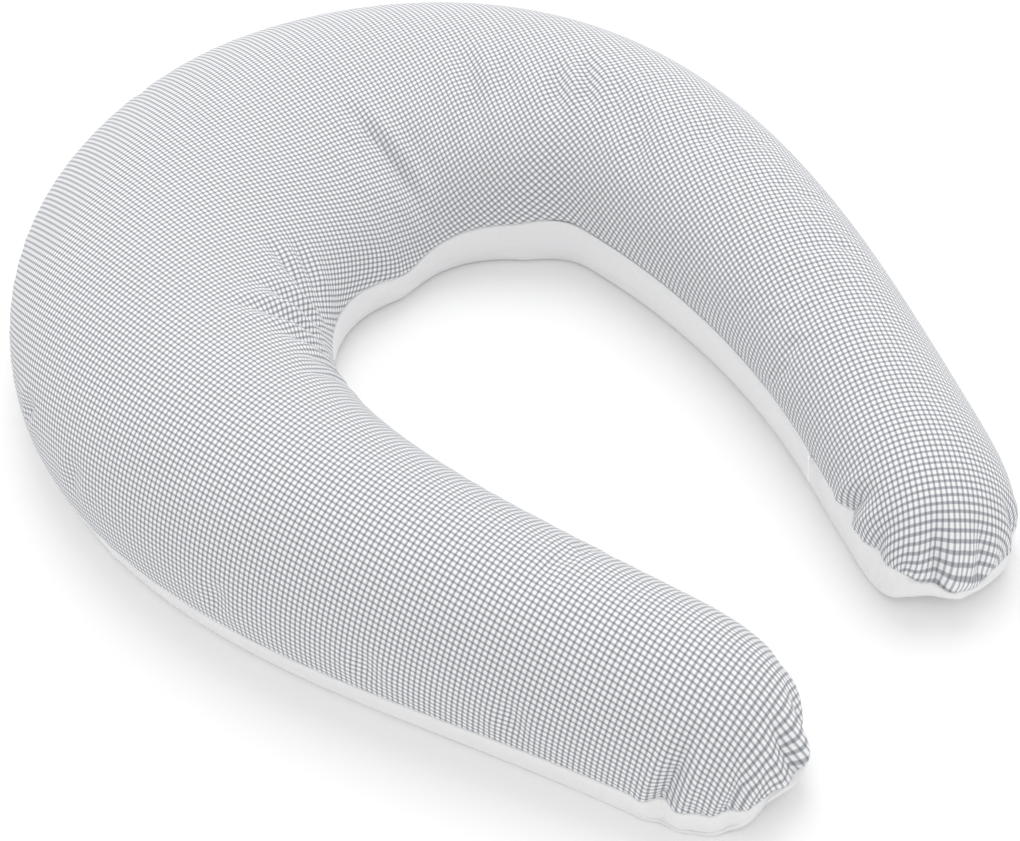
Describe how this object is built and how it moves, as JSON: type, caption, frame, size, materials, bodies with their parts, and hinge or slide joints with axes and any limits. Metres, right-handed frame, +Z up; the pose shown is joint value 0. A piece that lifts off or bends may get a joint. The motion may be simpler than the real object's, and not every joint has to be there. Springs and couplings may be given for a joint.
{
  "type": "nursing pillow",
  "caption": "C-shaped stuffed nursing pillow with two tapering arms, a small-check top panel, a plain underside and a concealed zip along one inner seam.",
  "frame": {"origin": "on the floor, under the middle of the overall box", "axes": "+Z up from the floor the pillow lies on; the mouth of the C opens towards -Y; the wide back is at +Y; +X is the side with the zip"},
  "size_m": [0.6481, 0.8909, 0.1499],
  "materials": {
    "gingham_cotton": "matte",
    "white_cotton": "matte",
    "casing_cloth": "matte",
    "fibre": "matte",
    "zip_tape": "matte",
    "zip_coil": "satin",
    "slider_enamel": "gloss",
    "thread": "matte",
    "label_satin": "satin"
  },
  "bodies": {
    "pillow": {"cover_top_panel": "gingham_cotton", "cover_bottom_panel": "white_cotton", "cover_seam_thread": "thread", "care_label": "label_satin", "zip_tape_upper": "zip_tape", "zip_tape_lower": "zip_tape", "zip_coil_upper": "zip_coil", "zip_coil_lower": "zip_coil", "zip_stitching_upper": "thread", "zip_stitching_lower": "thread", "zip_top_stops": "zip_coil", "zip_bottom_stop": "zip_coil", "casing_top_panel": "casing_cloth", "casing_bottom_panel": "casing_cloth", "casing_seam_thread": "thread", "casing_closing_thread": "thread", "fibre_filling": "fibre"},
    "slider": {"zip_slider": "slider_enamel"},
    "pull": {"zip_pull_tab": "slider_enamel"}
  },
  "joints": [
    {"name": "zip_travel", "type": "hinge", "parent": "pillow", "child": "slider", "pos_m": [-0.4903, 0.0012, 0.0545], "axis": [0, 0, 1], "range_deg": [0, 27.4]},
    {"name": "pull_swing", "type": "hinge", "parent": "slider", "child": "pull", "pos_m": [0.08452, -0.27051, 0.0545], "axis": [0.4274, 0.9041, 0], "range_deg": [0, 165]}
  ]
}
